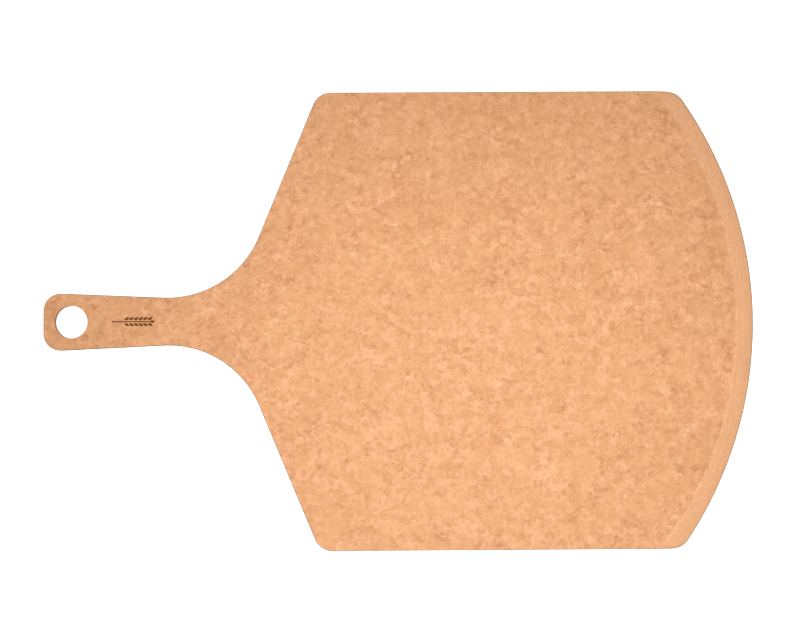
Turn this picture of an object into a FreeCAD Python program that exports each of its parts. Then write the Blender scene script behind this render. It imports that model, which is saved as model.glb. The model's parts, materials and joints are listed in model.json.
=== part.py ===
import FreeCAD
import Part

import math
import os

# A pizza peel: a thin flat board with a broad blade and a short tapered handle. It is cut from a panel of
# resin-soaked paper sheets pressed into one, so its physical pieces are the sheets, one node each.
# Millimetres. +X runs from the handle to the blade's front, +Y across, +Z up. The origin is under the middle
# of the board's length, on its lower face. Distances along the board count from the handle's end.

# The laminate
SHEET_COUNT = 25
SHEET_THICKNESS = 0.254

# The plan outline
OVERALL_LENGTH = 551.1
BLADE_WIDTH = 355.6
FRONT_RADIUS = 304.8
FRONT_CORNER_RADIUS = 15.5
REAR_CORNER_RADIUS = 14.8
SHOULDER_ANGLE = 67.5
SHOULDER_APEX = 139.5
NECK_RADIUS = 76.2
HANDLE_TAPER_ANGLE = 2.5
HANDLE_END_WIDTH = 45.4
HANDLE_CORNER_RADIUS = 13.3

# The hanging hole
HOLE_RADIUS = 12.7
HOLE_FROM_END = 21.5
HOLE_EDGE_RADIUS = 0.2

# The rounded edges, and the bevel that thins the blade's front to a lip
EDGE_RADIUS = 1.0
BEVEL_WIDTH = 14.0
LIP_THICKNESS = 1.6

# The ear of wheat engraved on the handle: a stem, pairs of grains and one grain at the tip
MARK_FROM_END = 69.7
MARK_LENGTH = 33.4
MARK_DEPTH = 0.15
STEM_WIDTH = 0.9
GRAIN_LENGTH = 4.4
GRAIN_WIDTH = 2.1
GRAIN_ANGLE = 28.0
GRAIN_PAIRS = 6
GRAIN_PITCH = 3.6
GRAIN_GAP = 0.3

THICKNESS = SHEET_COUNT * SHEET_THICKNESS
HALF_WIDTH = BLADE_WIDTH / 2
MARGIN = 10.0
TOLERANCE = 1e-6
UP = FreeCAD.Vector(0, 0, 1)
ACROSS = FreeCAD.Vector(0, 1, 0)


def point(from_end, across=0.0, height=0.0):
    """A point given by its distance from the handle's end."""
    return FreeCAD.Vector(from_end - OVERALL_LENGTH / 2, across, height)


def heading(angle):
    """The flat unit vector at this angle in degrees."""
    return FreeCAD.Vector(math.cos(math.radians(angle)), math.sin(math.radians(angle)), 0)


def crossing(p, p_heading, q, q_heading):
    """The point where two lines cross, each given by a point and its heading."""
    along = (q - p).cross(q_heading).z / p_heading.cross(q_heading).z
    return p + p_heading * along


def corner_arc(corner, heading_in, heading_out, radius):
    """The arc that rounds a corner between two lines."""
    turn = heading_in.getAngle(heading_out)
    reach = radius * math.tan(turn / 2)
    bisector = (heading_out - heading_in).normalize()
    middle = corner + bisector * (radius / math.cos(turn / 2) - radius)
    return Part.Arc(corner - heading_in * reach, middle, corner + heading_out * reach)


def front_centre():
    """The centre of the blade's front arc."""
    return point(OVERALL_LENGTH - FRONT_RADIUS)


def half_outline():
    """The outline's edges on the +Y side, from the middle of the handle's end to the middle of the front."""
    end = heading(90)
    side = heading(-HANDLE_TAPER_ANGLE)
    shoulder = heading(SHOULDER_ANGLE)
    blade = heading(0)
    end_corner = point(0, HANDLE_END_WIDTH / 2)
    neck = crossing(end_corner, side, point(SHOULDER_APEX), shoulder)
    rear_corner = crossing(neck, shoulder, point(0, HALF_WIDTH), blade)
    arcs = [
        corner_arc(end_corner, end, side, HANDLE_CORNER_RADIUS),
        corner_arc(neck, side, shoulder, NECK_RADIUS),
        corner_arc(rear_corner, shoulder, blade, REAR_CORNER_RADIUS),
        front_corner_arc(),
    ]
    edges = []
    start = point(0)
    for arc in arcs:
        arc_edge = arc.toShape()
        edges.append(Part.makeLine(start, arc_edge.valueAt(arc_edge.FirstParameter)))
        edges.append(arc_edge)
        start = arc_edge.valueAt(arc_edge.LastParameter)
    edges.append(front_arc(start).toShape())
    return edges


def front_corner_arc():
    """The arc that rounds the corner between the blade's side and its front arc."""
    inner = FRONT_RADIUS - FRONT_CORNER_RADIUS
    across = HALF_WIDTH - FRONT_CORNER_RADIUS
    centre = front_centre() + FreeCAD.Vector(math.sqrt(inner**2 - across**2), across, 0)
    outward = (centre - front_centre()).normalize()
    middle = centre + (ACROSS + outward).normalize() * FRONT_CORNER_RADIUS
    return Part.Arc(centre + ACROSS * FRONT_CORNER_RADIUS, middle, centre + outward * FRONT_CORNER_RADIUS)


def front_arc(start):
    """The front arc from this point on it to the middle of the front."""
    tip = point(OVERALL_LENGTH)
    chord = (start + tip) * 0.5 - front_centre()
    return Part.Arc(start, front_centre() + chord.normalize() * FRONT_RADIUS, tip)


def plain_board():
    """The board before anything is cut into it, with its edges rounded above and below."""
    half = half_outline()
    mirrored = [edge.mirror(FreeCAD.Vector(), ACROSS) for edge in half]
    outline = Part.Wire(Part.__sortEdges__(half + mirrored))
    board = Part.Face(outline).extrude(UP * THICKNESS)
    return board.makeFillet(EDGE_RADIUS, level_edges(board))


def level_edges(shape):
    """The edges that lie in the upper or the lower face."""
    level = [edge for edge in shape.Edges if edge.BoundBox.ZLength < TOLERANCE]
    return [edge for edge in level if near(edge.BoundBox.ZMin, (0, THICKNESS))]


def near(value, targets):
    return any(abs(value - target) < TOLERANCE for target in targets)


def hanging_hole():
    """What the hole takes away: a cylinder that flares at both faces to ease the rims."""
    flare = HOLE_EDGE_RADIUS
    rim = HOLE_RADIUS + flare
    slope = math.sqrt(0.5)
    bulge = HOLE_RADIUS + flare * (1 - slope)
    low = [(rim, 0), (bulge, flare * (1 - slope)), (HOLE_RADIUS, flare)]
    high = [(radius, THICKNESS - height) for radius, height in reversed(low)]
    at = [[FreeCAD.Vector(radius, 0, height) for radius, height in arc] for arc in (low, high)]
    axis_low = FreeCAD.Vector(0, 0, -MARGIN)
    axis_high = FreeCAD.Vector(0, 0, THICKNESS + MARGIN)
    rim_low = FreeCAD.Vector(rim, 0, -MARGIN)
    rim_high = FreeCAD.Vector(rim, 0, THICKNESS + MARGIN)
    edges = [
        Part.makeLine(axis_low, rim_low),
        Part.makeLine(rim_low, at[0][0]),
        Part.Arc(*at[0]).toShape(),
        Part.makeLine(at[0][2], at[1][0]),
        Part.Arc(*at[1]).toShape(),
        Part.makeLine(at[1][2], rim_high),
        Part.makeLine(rim_high, axis_high),
        Part.makeLine(axis_high, axis_low),
    ]
    cutter = Part.Face(Part.Wire(edges)).revolve(FreeCAD.Vector(), UP, 360)
    cutter.translate(point(HOLE_FROM_END))
    return cutter


def front_bevel():
    """What the bevel takes away: half a ring round the front arc's centre, cone-shaped below."""
    inner = FRONT_RADIUS - BEVEL_WIDTH
    outer = FRONT_RADIUS + MARGIN
    fall = (THICKNESS - LIP_THICKNESS) / BEVEL_WIDTH
    profile = [
        (inner, THICKNESS),
        (outer, THICKNESS - fall * (outer - inner)),
        (outer, THICKNESS + MARGIN),
        (inner - MARGIN, THICKNESS + MARGIN),
        (inner - MARGIN, THICKNESS + fall * MARGIN),
    ]
    corners = [FreeCAD.Vector(0, -radius, height) for radius, height in profile]
    ring = Part.Face(Part.makePolygon(corners + corners[:1])).revolve(FreeCAD.Vector(), UP, 180)
    ring.translate(front_centre())
    return ring


def grain(base, angle):
    """The plan of one grain: a lens from its base point along this angle."""
    along = heading(angle)
    across = heading(angle + 90) * (GRAIN_WIDTH / 2)
    middle = base + along * (GRAIN_LENGTH / 2)
    tip = base + along * GRAIN_LENGTH
    left = Part.Arc(base, middle + across, tip).toShape()
    right = Part.Arc(tip, middle - across, base).toShape()
    return Part.Face(Part.Wire([left, right]))


def engraved_mark():
    """What the engraving takes away: the ear of wheat, down to its depth."""
    floor = THICKNESS - MARK_DEPTH
    start = MARK_FROM_END - MARK_LENGTH / 2
    tip_base = start + MARK_LENGTH - GRAIN_LENGTH
    stem_length = tip_base - GRAIN_GAP - start
    stem = Part.makePlane(stem_length, STEM_WIDTH, point(start, -STEM_WIDTH / 2, floor))
    faces = [stem, grain(point(tip_base, 0, floor), 0)]
    foot = STEM_WIDTH / 2 + GRAIN_GAP + GRAIN_WIDTH / 4
    for pair in range(GRAIN_PAIRS):
        from_end = tip_base - GRAIN_GAP - GRAIN_WIDTH / 2 - pair * GRAIN_PITCH
        for side in (-1, 1):
            faces.append(grain(point(from_end, side * foot, floor), side * GRAIN_ANGLE))
    return [face.extrude(UP * MARGIN) for face in faces]


def whole_board():
    """The finished board, before it is told apart into its sheets."""
    board = plain_board().cut(front_bevel()).cut(hanging_hole())
    for pocket in engraved_mark():
        board = board.cut(pocket)
    return board


def sheet_name(number):
    """The name of a sheet, counted from the lower face."""
    if number == 0:
        return "face_sheet_bottom"
    if number == SHEET_COUNT - 1:
        return "face_sheet_top"
    return f"core_sheet_{number:02d}"


def sheet(board, number):
    """One sheet: the slice of the board between its two faces."""
    corner = point(-MARGIN, -HALF_WIDTH - MARGIN, number * SHEET_THICKNESS)
    slab = Part.makeBox(
        OVERALL_LENGTH + 2 * MARGIN, BLADE_WIDTH + 2 * MARGIN, SHEET_THICKNESS, corner
    )
    return board.common(slab)


def main():
    os.makedirs("parts", exist_ok=True)
    board = whole_board()
    for number in range(SHEET_COUNT):
        piece = sheet(board, number)
        piece.exportStep(f"parts/{sheet_name(number)}.step")
        print(sheet_name(number), len(piece.Solids), "solid", round(piece.Volume, 2), "mm3")


main()
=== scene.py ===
import json
import math
import random

import bpy
import numpy as np
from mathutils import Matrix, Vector, noise
from mathutils.geometry import delaunay_2d_cdt


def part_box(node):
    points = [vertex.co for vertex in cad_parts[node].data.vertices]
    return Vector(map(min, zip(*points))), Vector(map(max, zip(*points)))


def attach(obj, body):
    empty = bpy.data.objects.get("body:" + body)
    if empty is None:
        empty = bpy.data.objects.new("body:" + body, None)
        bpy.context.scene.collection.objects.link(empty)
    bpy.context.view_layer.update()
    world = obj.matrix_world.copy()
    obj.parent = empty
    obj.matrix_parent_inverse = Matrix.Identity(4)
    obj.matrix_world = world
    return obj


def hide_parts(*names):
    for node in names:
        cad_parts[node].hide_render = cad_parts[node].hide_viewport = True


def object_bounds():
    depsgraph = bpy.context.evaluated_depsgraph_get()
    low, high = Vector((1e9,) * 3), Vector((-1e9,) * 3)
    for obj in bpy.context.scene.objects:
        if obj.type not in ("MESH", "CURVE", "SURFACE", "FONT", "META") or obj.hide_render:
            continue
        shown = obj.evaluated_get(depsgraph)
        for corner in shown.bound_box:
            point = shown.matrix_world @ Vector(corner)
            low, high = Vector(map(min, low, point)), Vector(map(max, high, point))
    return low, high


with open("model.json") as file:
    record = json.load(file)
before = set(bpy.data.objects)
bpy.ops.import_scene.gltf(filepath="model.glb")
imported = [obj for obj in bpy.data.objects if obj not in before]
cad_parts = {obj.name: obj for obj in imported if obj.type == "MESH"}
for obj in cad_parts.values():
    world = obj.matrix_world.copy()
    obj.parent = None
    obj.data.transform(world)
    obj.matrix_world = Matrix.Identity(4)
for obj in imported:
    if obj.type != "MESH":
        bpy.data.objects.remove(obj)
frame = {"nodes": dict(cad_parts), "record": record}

# A pizza peel: one thin board of paper sheets pressed together. Each sheet is one piece, cut to the board's
# outline, its rounded edges and the bevel at its front, so the edges and the bevel show sheet after sheet.
# Metres, in the frame's axes: +X from the handle to the blade's front, +Z up.

CAD_LOW, CAD_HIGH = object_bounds()
MM = 0.001

# The board, from the frame
HOLE = next(m for m in frame["record"]["mounts"] if m["name"] == "hanging_hole")
HOLE_CENTRE = HOLE["pos_m"][:2]
HOLE_RADIUS = HOLE["dims"]["r_mm"] * MM
REAR = CAD_LOW.x
FRONT = CAD_HIGH.x
HALF_WIDTH = CAD_HIGH.y
THICKNESS = CAD_HIGH.z
SHEET_NAMES = sorted(frame["nodes"], key=lambda name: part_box(name)[0].z)
SHEET_COUNT = len(SHEET_NAMES)
SHEET_THICKNESS = THICKNESS / SHEET_COUNT
HOLE_EDGE_RADIUS = (THICKNESS - HOLE["dims"]["length_mm"] * MM) / 2

# The rest of the outline
FRONT_RADIUS = 304.8 * MM
FRONT_CORNER_RADIUS = 15.5 * MM
REAR_CORNER_RADIUS = 14.8 * MM
SHOULDER_ANGLE = math.radians(67.5)
SHOULDER_APEX = REAR + 139.5 * MM
NECK_RADIUS = 76.2 * MM
HANDLE_TAPER_ANGLE = math.radians(2.5)
HANDLE_END_HALF_WIDTH = 22.7 * MM
HANDLE_CORNER_RADIUS = 13.3 * MM
FRONT_CENTRE = np.array([FRONT - FRONT_RADIUS, 0.0])

# The edges and the bevel
EDGE_RADIUS = 1.0 * MM
BEVEL_WIDTH = 14.0 * MM
LIP_THICKNESS = 1.6 * MM
BEVEL_SLOPE = (THICKNESS - LIP_THICKNESS) / BEVEL_WIDTH
CREASE_SOFTNESS = 0.5 * MM
ARRIS_SOFTNESS = 0.5 * MM

# How fine the mesh is: along an edge, round the hole, up the rounded edges, and across the arris where the
# bevel meets the edge, which has loops within this many softnesses of it
LINE_STEP = 2.5 * MM
ARC_STEP = 1.2 * MM
HOLE_POINTS = 96
EDGE_STEPS = 14
HOLE_EDGE_STEPS = 4
ARRIS_LOOPS = 9
ARRIS_SPAN = 3

# How far the sheets wander up and down in the panel, and over what lengths
BEVEL_WANDER = 0.35 * MM
BEVEL_WANDER_ALONG = 32 * MM
BEVEL_WANDER_ACROSS = 4.5 * MM
EDGE_WANDER = 0.12 * MM
EDGE_WANDER_ALONG = 22 * MM
WANDER_PER_SHEET = 0.16

# The engraved ear of wheat
MARK_CENTRE = REAR + 69.7 * MM
MARK_LENGTH = 33.4 * MM
MARK_DEPTH = 0.15 * MM
STEM_WIDTH = 0.9 * MM
GRAIN_LENGTH = 4.4 * MM
GRAIN_WIDTH = 2.1 * MM
GRAIN_ANGLE = math.radians(28)
GRAIN_PAIRS = 6
GRAIN_PITCH = 3.6 * MM
GRAIN_GAP = 0.3 * MM
GRAIN_ARC_POINTS = 10

# Small numbers that keep the mesh sound
LEAST_DROP = 0.004 * MM
LEAST_SHARE = 0.02
WANDER_BLEND = 3 * MM
SHEETS_HELD_FLAT = 3
GRID_X = (-0.06, 0.21)
GRID_Y = (-0.16, 0.17)
GRID_STEP = 0.02
CDT_TOLERANCE = 1e-5
SHARP_FROM = math.radians(8)

# Colours
FACE_COLOUR = (0.585, 0.281, 0.136)
FACE_SWING = (0.241, 0.159, 0.104)
FACE_YELLOW = (0.572, 0.287, 0.118)
FIBRE_COLOUR = (0.723, 0.409, 0.229)
FLECK_COLOUR = (0.843, 0.602, 0.337)
CORE_COLOUR = (0.669, 0.343, 0.169)
CORE_SWING = 0.36
# Upright edges darken towards this: partly the cut edge's own darker colour, partly painted shade on the rims
ROUTED_AND_SHADE_COLOUR = (0.16, 0.072, 0.033)
BURNT_DARK = (0.09, 0.026, 0.006)
BURNT_LIGHT = (0.22, 0.075, 0.018)

# How much each surface shines, the noise values at which its roughness would be 0 and 1, and how high its
# relief is
SHEEN = 0.25
BURNT_SHEEN = 0.05
FACE_ROUGHNESS_RANGE = (-2.6, 2.4)
CORE_ROUGHNESS_RANGE = (-2.2, 2.0)
BURNT_ROUGHNESS_RANGE = (-2.2, 1.3)
FACE_RELIEF = 0.03 * MM
CORE_RELIEF = 0.04 * MM
BURNT_RELIEF = 0.05 * MM
FIBRE_RELIEF_SHARE = 0.3

# The patterns: what blotches() and flakes() make them from, and how strongly each shows
PATTERN_SHIFT = (1.7, 2.3, 0.9)
PULP = {"size": 7 * MM, "seed": 1, "detail": 5, "roughness": 0.84, "distortion": 0.1}
PULP_CONTRAST = 1.2
CLOUD = {"size": 30 * MM, "seed": 2, "detail": 1}
CLOUD_CONTRAST = 0.15
WARMTH = {"size": 14 * MM, "seed": 3, "detail": 2, "roughness": 0.6}
WARMTH_RANGE = (0.35, 0.9)
FLAKES = [{"size": 2.3 * MM, "seed": 12}, {"size": 4.8 * MM, "seed": 13}]
FLAKE_CONTRAST = 0.24
FLAKE_WOBBLE = 1.6
FLAKE_WOBBLE_DETAIL = 2.0
FIBRE = {"size": 0.8 * MM, "detail": 1, "distortion": 0.4, "stretch": (0.22, 1, 1)}
FIBRE_SEED = 4
FIBRE_DIRECTIONS = 4
FIRST_FIBRE_DIRECTION = 0.3
FIBRE_RANGE = (0.66, 0.82)
FIBRE_STRENGTH = 0.45
FLECK = {"size": 3.2 * MM, "seed": 9, "detail": 1, "distortion": 0.8}
FLECK_RANGE = (0.78, 0.84)
FLECK_STRENGTH = 0.6
CORE_PULP = {"size": 5 * MM, "detail": 5, "roughness": 0.84, "distortion": 0.3, "stretch": (0.5, 1, 1)}
CORE_PULP_FIRST_SEED = 20
CORE_PULP_CONTRAST = 1.1
CORE_STREAK = {"size": 34 * MM, "detail": 1}
CORE_STREAK_FIRST_SEED = 60
CORE_STREAK_CONTRAST = 0.2
CHAR = {"size": 0.9 * MM, "seed": 100, "detail": 3, "roughness": 0.7}
CHAR_RANGE = (0.3, 0.7)

# Edges darken between these two values of levelness, partly the cut edge's own darker colour and partly
# painted shade on the rims, the same on every side, and a face is rubbed in patches where it starts to slope
UPRIGHT_RANGE = (0.95, 0.86)
ROUTED_AND_SHADE_STRENGTH = 0.88
RUB_PATCH = {"size": 7 * MM, "seed": 31, "detail": 2}
RUB_PATCH_RANGE = (0.3, 0.7)
RUB_LEAST = 0.3
RUB_UNEVENNESS = 3.2
RUB_RANGE = (0.0015, 0.007)

# How light the sheets' cut edges are
TONE_SEED = 7
TONE_LIKENESS = 0.35
TONE_SPREAD = 0.035

# The stage
FLOOR_REACH = 60
FLOOR_DROP = 0.1 * MM
FLOOR_COLOUR = (0.97, 0.97, 0.97)
FLOOR_GLOW = 0.6
WORLD_STRENGTH = 0.8
BACKDROP_STRENGTH = 1.05
KEY_SPOT = (0.046, -0.079, 0.266)
KEY_SIZE = (0.54, 0.47)
KEY_POWER = 1.145
KEY_AIM = (0.046, -0.079, 0)
CAMERA_LENS = 69.37
CAMERA_SPOT = (-0.00702, -0.04226, 1.2)
CAMERA_TURN = (0.039113, -0.0060632, -0.0059264)


# ---------------------------------------------------------------- the outline

def heading(angle):
    """The flat unit vector at this angle."""
    return np.array([math.cos(angle), math.sin(angle)])


def left_of(direction):
    """This direction turned left by a right angle."""
    return np.array([-direction[1], direction[0]])


def crossing(p, p_heading, q, q_heading):
    """The point where two lines cross, each given by a point and its heading."""
    along, _ = np.linalg.solve(np.array([p_heading, -q_heading]).T, q - p)
    return p + p_heading * along


def rounded(corner, heading_in, heading_out, radius):
    """(centre, start, end) of the arc that rounds a corner between two lines."""
    turn = math.acos(heading_in @ heading_out)
    reach = radius * math.tan(turn / 2)
    bisector = (heading_out - heading_in) / np.linalg.norm(heading_out - heading_in)
    centre = corner + bisector * radius / math.cos(turn / 2)
    return centre, corner - heading_in * reach, corner + heading_out * reach


def line_points(start, end, step=LINE_STEP):
    """Points and outward normals along a line, without its end."""
    count = max(1, round(np.linalg.norm(end - start) / step))
    direction = (end - start) / np.linalg.norm(end - start)
    shares = np.arange(count)[:, None] / count
    return start + (end - start) * shares, np.tile(left_of(direction), (count, 1))


def arc_points(centre, start, end, step=ARC_STEP):
    """Points and outward normals along an arc, without its end. A left turn is a hollow in the outline."""
    radius = np.linalg.norm(start - centre)
    first = math.atan2(*(start - centre)[::-1])
    last = math.atan2(*(end - centre)[::-1])
    turn = (last - first + math.pi) % (2 * math.pi) - math.pi
    count = max(2, round(abs(turn) * radius / step))
    angles = first + turn * np.arange(count) / count
    out = np.stack([np.cos(angles), np.sin(angles)], 1)
    return centre + out * radius, out * (-1 if turn > 0 else 1)


def half_outline():
    """Points and outward normals on the +Y side, from the middle of the handle's end to that of the front."""
    end, side, shoulder, blade = map(heading, (math.pi / 2, -HANDLE_TAPER_ANGLE, SHOULDER_ANGLE, 0))
    end_corner = np.array([REAR, HANDLE_END_HALF_WIDTH])
    neck = crossing(end_corner, side, np.array([SHOULDER_APEX, 0]), shoulder)
    rear_corner = crossing(neck, shoulder, np.array([0, HALF_WIDTH]), blade)
    inner = FRONT_RADIUS - FRONT_CORNER_RADIUS
    across = HALF_WIDTH - FRONT_CORNER_RADIUS
    front_corner = FRONT_CENTRE + [math.sqrt(inner**2 - across**2), across]
    outward = (front_corner - FRONT_CENTRE) / inner
    arcs = [
        rounded(end_corner, end, side, HANDLE_CORNER_RADIUS),
        rounded(neck, side, shoulder, NECK_RADIUS),
        rounded(rear_corner, shoulder, blade, REAR_CORNER_RADIUS),
        (front_corner, front_corner + [0, FRONT_CORNER_RADIUS], front_corner + outward * FRONT_CORNER_RADIUS),
    ]
    runs = []
    at = np.array([REAR, 0.0])
    for centre, start, stop in arcs:
        runs.append(line_points(at, start))
        runs.append(arc_points(centre, start, stop))
        at = stop
    tip = np.array([FRONT, 0.0])
    runs.append(arc_points(FRONT_CENTRE, at, tip))
    runs.append((tip[None], np.array([[1.0, 0.0]])))
    return [np.concatenate(part) for part in zip(*runs)]


# ---------------------------------------------------------------- the board's surface

def whole_outline():
    """Points and outward normals all the way round, clockwise seen from above."""
    points, normals = half_outline()
    mirror = np.array([1.0, -1.0])
    return [np.concatenate([half, half[-2:0:-1] * mirror]) for half in (points, normals)]


def setback(height, radius):
    """How far an edge that is rounded above and below stands back at this height."""
    short = np.maximum(radius - np.minimum(height, THICKNESS - height), 0)
    return radius - np.sqrt(radius**2 - short**2)


def bevel_reach(height):
    """How far the bevel is from the front arc's centre at this height. Its upper crease is softened."""
    drop = np.maximum(THICKNESS - height, LEAST_DROP)
    softness = CREASE_SOFTNESS * np.log(np.expm1(drop / (BEVEL_SLOPE * CREASE_SOFTNESS)))
    return FRONT_RADIUS - BEVEL_WIDTH + softness


def before_bevel(heights):
    """The outline at these heights, one for each of its points, as it would be without the bevel."""
    return OUTLINE - NORMALS * setback(heights, EDGE_RADIUS)[:, None]


def board_loop(heights):
    """The board's surface at these heights, one for each point of the outline."""
    points = before_bevel(heights)
    from_centre = points - FRONT_CENTRE
    reach = np.linalg.norm(from_centre, axis=1)
    excess = (reach - bevel_reach(heights)) / ARRIS_SOFTNESS
    cut = ARRIS_SOFTNESS * np.logaddexp(0, excess)
    return np.column_stack([points - from_centre * (cut / reach)[:, None], heights])


def hole_loop(height):
    """The hanging hole's wall at this height, counterclockwise."""
    angles = np.linspace(0, 2 * math.pi, HOLE_POINTS, endpoint=False)
    radius = HOLE_RADIUS + setback(height, HOLE_EDGE_RADIUS)
    ring = np.stack([np.cos(angles), np.sin(angles)], 1) * radius + HOLE_CENTRE
    return np.column_stack([ring, np.full(HOLE_POINTS, height)])


def boundary_heights(number):
    """The height of the face between two sheets where it comes out at the board's edge. It wanders, as paper
    does that is pressed in a stack, and most of all on the bevel, which cuts it at a low angle."""
    level = number * SHEET_THICKNESS
    points = before_bevel(np.full(len(OUTLINE), level))
    from_centre = points - FRONT_CENTRE
    reach = np.linalg.norm(from_centre, axis=1)
    past_bevel = np.clip((reach - bevel_reach(level)) / WANDER_BLEND, 0, 1)
    along = np.arctan2(from_centre[:, 1], from_centre[:, 0]) * FRONT_RADIUS / BEVEL_WANDER_ALONG
    across = bevel_reach(level) / BEVEL_WANDER_ACROSS
    depth = number * WANDER_PER_SHEET
    on_bevel = np.array([noise.noise(Vector((a, across, depth))) for a in along])
    at_edge = np.array([noise.noise(Vector((*point, depth))) for point in points / EDGE_WANDER_ALONG])
    strays = past_bevel * on_bevel * BEVEL_WANDER + (1 - past_bevel) * at_edge * EDGE_WANDER
    free = min(number, SHEET_COUNT - number, SHEETS_HELD_FLAT) / SHEETS_HELD_FLAT
    return level + strays * free


def rounding_levels(radius, steps):
    """Heights at even angles round the board's lower and upper edges, where they have this radius."""
    rise = radius * (1 - np.cos(np.linspace(0, math.pi / 2, steps + 1)))
    return np.concatenate([rise, THICKNESS - rise])


def shares_between(number, levels):
    """Where a sheet's edge needs loops, from 0 at its lower face to 1 at its upper."""
    shares = levels / SHEET_THICKNESS - number
    return [0, *sorted(shares[(shares > LEAST_SHARE) & (shares < 1 - LEAST_SHARE)]), 1]


# ---------------------------------------------------------------- the engraved mark

def grain(base, angle):
    """The outline of one grain, counterclockwise: two arcs from its base along this angle and back."""
    half = GRAIN_LENGTH / 2
    bulge = GRAIN_WIDTH / 2
    radius = (half**2 + bulge**2) / (2 * bulge)
    swing = math.asin(half / radius)
    turns = np.linspace(-swing, swing, GRAIN_ARC_POINTS, endpoint=False)
    right = np.column_stack([half + radius * np.sin(turns), radius - bulge - radius * np.cos(turns)])
    left = [GRAIN_LENGTH, 0] - right
    along = heading(angle)
    return base + np.concatenate([right, left]) @ np.array([along, left_of(along)])


def ear_of_wheat():
    """The outlines of the engraved pockets: a stem, a grain at its tip and pairs of grains."""
    start = MARK_CENTRE - MARK_LENGTH / 2
    tip_base = start + MARK_LENGTH - GRAIN_LENGTH
    stem_end = tip_base - GRAIN_GAP
    side = STEM_WIDTH / 2
    outlines = [
        np.array([[start, -side], [stem_end, -side], [stem_end, side], [start, side]]),
        grain(np.array([tip_base, 0]), 0),
    ]
    foot = side + GRAIN_GAP + GRAIN_WIDTH / 4
    for pair in range(GRAIN_PAIRS):
        x = stem_end - GRAIN_WIDTH / 2 - pair * GRAIN_PITCH
        outlines.append(grain(np.array([x, foot]), GRAIN_ANGLE))
        outlines.append(grain(np.array([x, -foot]), -GRAIN_ANGLE))
    return outlines


# ---------------------------------------------------------------- the sheets

def is_inside(rings, spots):
    """Whether each spot is in the first ring and not in the others: an odd number of sides is beyond it."""
    crossings = 0
    spot_x, spot_y = spots[:, :1], spots[:, 1:]
    for ring in rings:
        x, y = ring.T
        next_x, next_y = np.roll(ring, -1, axis=0).T
        passes = (y > spot_y) != (next_y > spot_y)
        rise = np.where(next_y == y, 1, next_y - y)
        beyond = x + (spot_y - y) * (next_x - x) / rise > spot_x
        crossings += (passes & beyond).sum(axis=1)
    return crossings % 2 == 1


def inner_points(height):
    """A grid of points inside the blade, that keeps a face's triangles even."""
    return [(x, y, height) for x in np.arange(*GRID_X, GRID_STEP) for y in np.arange(*GRID_Y, GRID_STEP)]


class Shape:
    """A mesh in the making: its points, and its faces with their material and shading."""

    def __init__(self):
        self.points = []
        self.faces = []
        self.materials = []
        self.smooth = []

    def add_points(self, points):
        start = len(self.points)
        self.points.extend(map(tuple, points))
        return np.arange(start, len(self.points))

    def add_face(self, corners, material=0, smooth=False):
        self.faces.append([int(corner) for corner in corners])
        self.materials.append(material)
        self.smooth.append(smooth)

    def add_wall(self, loops, material=0):
        """Quads between loops, each above the one before. The solid is on the right of their way round."""
        for lower, upper in zip(loops, loops[1:]):
            for corners in zip(lower, upper, np.roll(upper, -1), np.roll(lower, -1)):
                self.add_face(corners, material, smooth=True)

    def add_cap(self, loops, inner, faces_up):
        """Triangles that fill the first loop, less the others. They also use the inner points."""
        corners = np.concatenate([*loops, inner])
        flat = np.array([self.points[corner][:2] for corner in corners], dtype=np.float32) / np.float32(MM)
        rings = []
        edges = []
        for loop in loops:
            ring = np.arange(len(edges), len(edges) + len(loop))
            rings.append(flat[ring].astype(float))
            edges.extend(zip(ring.tolist(), np.roll(ring, -1).tolist()))
        spots = [Vector(spot) for spot in flat]
        _, _, made, origins, _, _ = delaunay_2d_cdt(spots, edges, [], 0, CDT_TOLERANCE, True)
        triangles = np.array([[origins[corner][0] for corner in triangle] for triangle in made])
        triangles = triangles[is_inside(rings, flat[triangles].astype(float).mean(axis=1))]
        for a, b, c in corners[triangles]:
            self.add_face((a, b, c) if faces_up else (a, c, b))

    def add_pocket(self, outline, floor, material):
        """A pocket sunk into the upper face. Its rim is returned, for the cap to leave open."""
        rim = self.add_points([(*point, THICKNESS) for point in outline])
        foot = self.add_points([(*point, floor) for point in outline])
        self.add_wall([foot, rim], material)
        self.add_face(foot, material)
        return rim

    def to_object(self, name, materials):
        """The finished piece. Its edges are sharp where it turns by more than a few degrees."""
        mesh = bpy.data.meshes.new(name)
        mesh.from_pydata(self.points, [], self.faces)
        mesh.polygons.foreach_set("material_index", self.materials)
        mesh.polygons.foreach_set("use_smooth", self.smooth)
        mesh.set_sharp_from_angle(angle=SHARP_FROM)
        for material in materials:
            mesh.materials.append(material)
        piece = bpy.data.objects.new(name, mesh)
        bpy.context.collection.objects.link(piece)
        return piece


def sheet(number, name, materials):
    """One sheet: its edge and the hole's wall between its faces, and the faces themselves."""
    low = boundary_heights(number)
    high = boundary_heights(number + 1)
    shape = Shape()
    edge = [shape.add_points(board_loop(low + (high - low) * s)) for s in shares_between(number, EDGE_LEVELS)]
    hole_shares = shares_between(number, HOLE_LEVELS)
    hole = [shape.add_points(hole_loop((number + s) * SHEET_THICKNESS)) for s in hole_shares]
    shape.add_wall(edge)
    shape.add_wall(hole)
    pockets = []
    if number == SHEET_COUNT - 1:
        pockets = [shape.add_pocket(outline, THICKNESS - MARK_DEPTH, 1) for outline in ear_of_wheat()]
    inner = shape.add_points(inner_points(number * SHEET_THICKNESS))
    shape.add_cap([edge[0], hole[0]], inner, faces_up=False)
    inner = shape.add_points(inner_points((number + 1) * SHEET_THICKNESS))
    shape.add_cap([edge[-1], hole[-1], *pockets], inner, faces_up=True)
    return shape.to_object("pressed_" + name, materials)


# ---------------------------------------------------------------- materials

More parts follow.
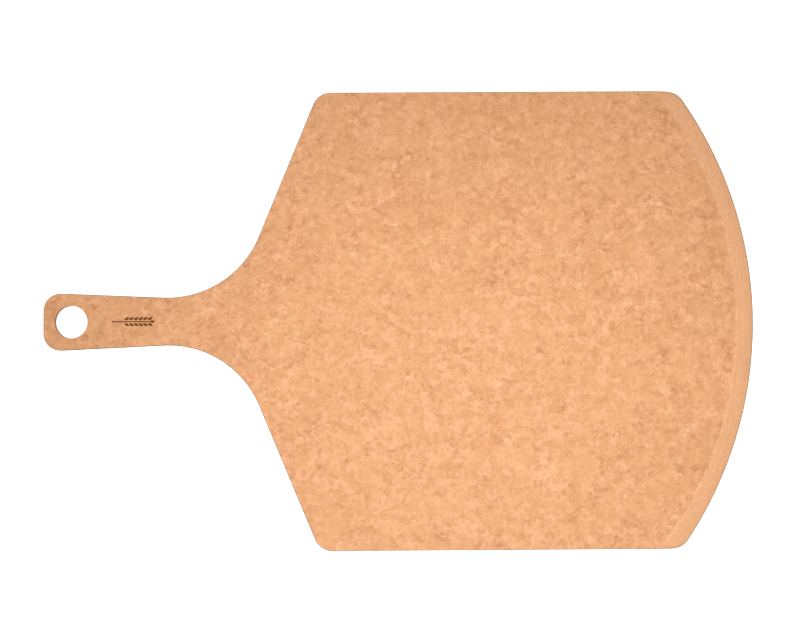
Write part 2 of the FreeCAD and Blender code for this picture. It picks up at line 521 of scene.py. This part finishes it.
def add_node(tree, kind, inputs, **settings):
    """The first output of a new node with these settings, its inputs linked to sockets or set to values."""
    node = tree.nodes.new(kind)
    for name, value in settings.items():
        setattr(node, name, value)
    for name, value in inputs.items():
        if isinstance(value, bpy.types.NodeSocket):
            tree.links.new(value, node.inputs[name])
        else:
            node.inputs[name].default_value = value
    return node.outputs[0]


def compute(tree, operation, *values):
    return add_node(tree, "ShaderNodeMath", dict(enumerate(values)), operation=operation)


def place(tree, seed, turn=0, stretch=(1, 1, 1)):
    """Object coordinates, shifted so that no two patterns match, turned about Z and scaled."""
    spot = tree.nodes.new("ShaderNodeTexCoord").outputs["Object"]
    inputs = {
        "Vector": spot,
        "Location": [seed * shift for shift in PATTERN_SHIFT],
        "Rotation": (0, 0, turn),
        "Scale": stretch,
    }
    return add_node(tree, "ShaderNodeMapping", inputs)


def blotches(tree, size, seed, detail=0, roughness=0.5, distortion=0, turn=0, stretch=(1, 1, 1)):
    """Smooth noise from 0 to 1 whose blotches have about this size."""
    inputs = {
        "Vector": place(tree, seed, turn, stretch),
        "Scale": 1 / size,
        "Detail": detail,
        "Roughness": roughness,
        "Distortion": distortion,
    }
    return add_node(tree, "ShaderNodeTexNoise", inputs)


def flakes(tree, size, seed):
    """Irregular flakes of pulp of about this size, each with its own value from 0 to 1."""
    spot = place(tree, seed)
    inputs = {"Vector": spot, "Scale": FLAKE_WOBBLE / size, "Detail": FLAKE_WOBBLE_DETAIL}
    wobble = add_node(tree, "ShaderNodeTexNoise", inputs).node.outputs["Color"]
    inputs = {0: wobble, 1: (size, size, size), 2: spot}
    shifted_spot = add_node(tree, "ShaderNodeVectorMath", inputs, operation="MULTIPLY_ADD")
    inputs = {"Vector": shifted_spot, "Scale": 1 / size}
    cells = add_node(tree, "ShaderNodeTexVoronoi", inputs).node.outputs["Color"]
    return add_node(tree, "ShaderNodeSeparateColor", {"Color": cells})


def spread(tree, value, low, high):
    """The value's range from low to high, stretched to run from 0 to 1."""
    inputs = {"Value": value, "From Min": low, "From Max": high}
    return add_node(tree, "ShaderNodeMapRange", inputs)


def weighted(tree, parts):
    """0.5 plus each noise's swing about 0.5 times its weight."""
    total = 0.5
    for value, weight in parts:
        swing = compute(tree, "SUBTRACT", value, 0.5)
        total = compute(tree, "MULTIPLY_ADD", swing, weight, total)
    return total


def mixed(tree, share, first, second):
    """A colour between two, each a colour or a socket."""
    node = tree.nodes.new("ShaderNodeMix")
    node.data_type = "RGBA"
    values = {"Factor_Float": share, "A_Color": first, "B_Color": second}
    for socket in node.inputs:
        if socket.identifier in values:
            value = values[socket.identifier]
            if isinstance(value, bpy.types.NodeSocket):
                tree.links.new(value, socket)
            else:
                socket.default_value = value if isinstance(value, float) else (*value, 1)
    return next(socket for socket in node.outputs if socket.identifier == "Result_Color")


def new_material(name):
    """An empty node material, with its tree and its surface shader."""
    material = bpy.data.materials.new(name)
    material.use_nodes = True
    tree = material.node_tree
    return material, tree, tree.nodes["Principled BSDF"]


def surface(tree, shader, colour, roughness, height=None, relief=0, sheen=SHEEN):
    """Links the colour, the roughness and, where there is one, the bump to the shader."""
    tree.links.new(colour, shader.inputs["Base Color"])
    tree.links.new(roughness, shader.inputs["Roughness"])
    shader.inputs["Specular IOR Level"].default_value = sheen
    if height:
        inputs = {"Height": height, "Distance": relief, "Strength": 1.0}
        tree.links.new(add_node(tree, "ShaderNodeBump", inputs), shader.inputs["Normal"])


def tinted(colour, factor):
    """The colour made lighter or darker by this factor."""
    return [channel * factor for channel in colour]


def shifted(colour, swing, share):
    """The colour moved along its swing by this share of it."""
    return [channel + step * share for channel, step in zip(colour, swing)]


def levelness(tree):
    """1 where the surface is level, 0 where it is vertical."""
    normal = tree.nodes.new("ShaderNodeNewGeometry").outputs["Normal"]
    parts = add_node(tree, "ShaderNodeSeparateXYZ", {"Vector": normal}).node
    return compute(tree, "ABSOLUTE", parts.outputs["Z"])


def routed_and_shaded(tree, colour):
    """The colour with the board's upright edges darkened: partly the darker cut the cutter leaves, partly
    painted shade on the rims, the same on every side.
    """
    upright = spread(tree, levelness(tree), *UPRIGHT_RANGE)
    share = compute(tree, "MULTIPLY", upright, ROUTED_AND_SHADE_STRENGTH)
    return mixed(tree, share, colour, ROUTED_AND_SHADE_COLOUR)


def rubbed(tree, colour, tone):
    """The colour with the face's skin rubbed off where the surface starts to slope, with an uneven rim."""
    patches = spread(tree, blotches(tree, **RUB_PATCH), *RUB_PATCH_RANGE)
    wear = compute(tree, "MULTIPLY_ADD", patches, RUB_UNEVENNESS, RUB_LEAST)
    slope = compute(tree, "SUBTRACT", 1.0, levelness(tree))
    share = spread(tree, compute(tree, "MULTIPLY", slope, wear), *RUB_RANGE)
    bare = mixed(tree, tone, tinted(CORE_COLOUR, 1 - CORE_SWING), tinted(CORE_COLOUR, 1 + CORE_SWING))
    return mixed(tree, share, colour, bare)


def fibres(tree):
    """Pale paper fibres that lie every way: thin noise in several directions, only its highest parts."""
    strands = 0.0
    for step in range(FIBRE_DIRECTIONS):
        turn = (step + FIRST_FIBRE_DIRECTION) * math.pi / FIBRE_DIRECTIONS
        strand = blotches(tree, seed=FIBRE_SEED + step, turn=turn, **FIBRE)
        strands = compute(tree, "MAXIMUM", strands, strand)
    return spread(tree, strands, *FIBRE_RANGE)


def face_material():
    """A pressed paper face: pulp mottled at several sizes, flakes, fibres and a few pale flecks."""
    material, tree, shader = new_material("paper_face")
    pulp = blotches(tree, **PULP)
    parts = [(pulp, PULP_CONTRAST), (blotches(tree, **CLOUD), CLOUD_CONTRAST)]
    for flake in FLAKES:
        parts.append((flakes(tree, **flake), FLAKE_CONTRAST))
    tone = weighted(tree, parts)
    colour = mixed(tree, tone, shifted(FACE_COLOUR, FACE_SWING, -1), shifted(FACE_COLOUR, FACE_SWING, 1))
    warmth = spread(tree, blotches(tree, **WARMTH), *WARMTH_RANGE)
    colour = mixed(tree, warmth, colour, FACE_YELLOW)
    strands = fibres(tree)
    colour = mixed(tree, compute(tree, "MULTIPLY", strands, FIBRE_STRENGTH), colour, FIBRE_COLOUR)
    flecks = spread(tree, blotches(tree, **FLECK), *FLECK_RANGE)
    colour = mixed(tree, compute(tree, "MULTIPLY", flecks, FLECK_STRENGTH), colour, FLECK_COLOUR)
    roughness = spread(tree, pulp, *FACE_ROUGHNESS_RANGE)
    relief = compute(tree, "MULTIPLY_ADD", strands, FIBRE_RELIEF_SHARE, pulp)
    colour = rubbed(tree, colour, tone)
    # The face's upright edges are darkened: partly its darker cut, partly painted shade on the rims
    surface(tree, shader, routed_and_shaded(tree, colour), roughness, relief, FACE_RELIEF)
    return material


def core_material(number, tone):
    """The cut edge of one sheet inside the board. The sheets are cross-laid: in every second one the fibres
    run across the board, so cutting leaves it rougher."""
    material, tree, shader = new_material(f"paper_core_{number:02d}")
    cross_laid = number % 2 == 1
    turn = math.pi / 2 if cross_laid else 0
    pulp = blotches(tree, seed=CORE_PULP_FIRST_SEED + number, turn=turn, **CORE_PULP)
    streak = blotches(tree, seed=CORE_STREAK_FIRST_SEED + number, **CORE_STREAK)
    share = weighted(tree, [(pulp, CORE_PULP_CONTRAST), (streak, CORE_STREAK_CONTRAST)])
    base = tinted(CORE_COLOUR, tone)
    colour = mixed(tree, share, tinted(base, 1 - CORE_SWING), tinted(base, 1 + CORE_SWING))
    # The sheet's upright edges are darkened: partly its darker cut, partly painted shade on the rims
    colour = routed_and_shaded(tree, colour)
    roughness = spread(tree, pulp, *CORE_ROUGHNESS_RANGE)
    if cross_laid:
        surface(tree, shader, colour, roughness, pulp, CORE_RELIEF)
    else:
        surface(tree, shader, colour, roughness)
    return material


def burnt_material():
    """The engraving, burnt in: dark brown, a little lighter and redder in places."""
    material, tree, shader = new_material("burnt_mark")
    char = blotches(tree, **CHAR)
    colour = mixed(tree, spread(tree, char, *CHAR_RANGE), BURNT_DARK, BURNT_LIGHT)
    roughness = spread(tree, char, *BURNT_ROUGHNESS_RANGE)
    surface(tree, shader, colour, roughness, char, BURNT_RELIEF, BURNT_SHEEN)
    return material


def sheet_tones():
    """How light each sheet's cut edge is. Neighbours are a little alike."""
    draws = random.Random(TONE_SEED)
    tones = []
    last = 0.0
    for _ in range(SHEET_COUNT):
        last = last * TONE_LIKENESS + draws.uniform(-TONE_SPREAD, TONE_SPREAD)
        tones.append(1 + last)
    return tones


# ---------------------------------------------------------------- the stage

def floor():
    """A wide pale floor just under the board, lit a little from below as a light table is."""
    mesh = bpy.data.meshes.new("floor")
    corners = [(-1, -1), (1, -1), (1, 1), (-1, 1)]
    points = [(x * FLOOR_REACH, y * FLOOR_REACH, -FLOOR_DROP) for x, y in corners]
    mesh.from_pydata(points, [], [(0, 1, 2, 3)])
    material, _, shader = new_material("pale_floor")
    shader.inputs["Base Color"].default_value = (*FLOOR_COLOUR, 1)
    shader.inputs["Roughness"].default_value = 1
    shader.inputs["Specular IOR Level"].default_value = 0
    shader.inputs["Emission Color"].default_value = (1, 1, 1, 1)
    shader.inputs["Emission Strength"].default_value = FLOOR_GLOW
    mesh.materials.append(material)
    plane = bpy.data.objects.new("floor", mesh)
    bpy.context.collection.objects.link(plane)
    return plane


def soft_light(name, spot, size, power, aim):
    """A rectangular light that the camera doesn't see, aimed at a point."""
    data = bpy.data.lights.new(name, "AREA")
    data.shape = "RECTANGLE"
    data.size, data.size_y = size
    data.energy = power
    light = bpy.data.objects.new(name, data)
    light.location = spot
    light.rotation_euler = (Vector(aim) - Vector(spot)).to_track_quat("-Z", "Y").to_euler()
    light.visible_camera = False
    bpy.context.collection.objects.link(light)


def white_world():
    """Even light from everywhere, with a backdrop as bright as the floor."""
    world = bpy.data.worlds.new("studio")
    world.use_nodes = True
    tree = world.node_tree
    background = tree.nodes["Background"]
    background.inputs["Color"].default_value = (1, 1, 1, 1)
    seen = tree.nodes.new("ShaderNodeLightPath").outputs["Is Camera Ray"]
    extra = BACKDROP_STRENGTH - WORLD_STRENGTH
    strength = compute(tree, "MULTIPLY_ADD", seen, extra, WORLD_STRENGTH)
    tree.links.new(strength, background.inputs["Strength"])
    bpy.context.scene.world = world


def camera():
    """Straight above, like the photograph's, with its slight tilt."""
    data = bpy.data.cameras.new("camera")
    data.lens = CAMERA_LENS
    viewer = bpy.data.objects.new("camera", data)
    viewer.location = CAMERA_SPOT
    viewer.rotation_euler = CAMERA_TURN
    bpy.context.collection.objects.link(viewer)
    bpy.context.scene.camera = viewer


# ---------------------------------------------------------------- making it

OUTLINE, NORMALS = whole_outline()
ARRIS_REACH = BEVEL_SLOPE * ARRIS_SOFTNESS * np.linspace(-ARRIS_SPAN, ARRIS_SPAN, ARRIS_LOOPS)
EDGE_LEVELS = np.concatenate([rounding_levels(EDGE_RADIUS, EDGE_STEPS), LIP_THICKNESS + ARRIS_REACH])
HOLE_LEVELS = rounding_levels(HOLE_EDGE_RADIUS, HOLE_EDGE_STEPS)

FACE = face_material()
BURNT = burnt_material()
for number, (name, tone) in enumerate(zip(SHEET_NAMES, sheet_tones())):
    is_face = number in (0, SHEET_COUNT - 1)
    materials = [FACE, BURNT] if is_face else [core_material(number, tone)]
    piece = sheet(number, name, materials)
    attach(piece, "root")
    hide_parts(name)

floor()
white_world()
soft_light("key", KEY_SPOT, KEY_SIZE, KEY_POWER, KEY_AIM)
camera()
bpy.context.scene.view_settings.view_transform = "Standard"
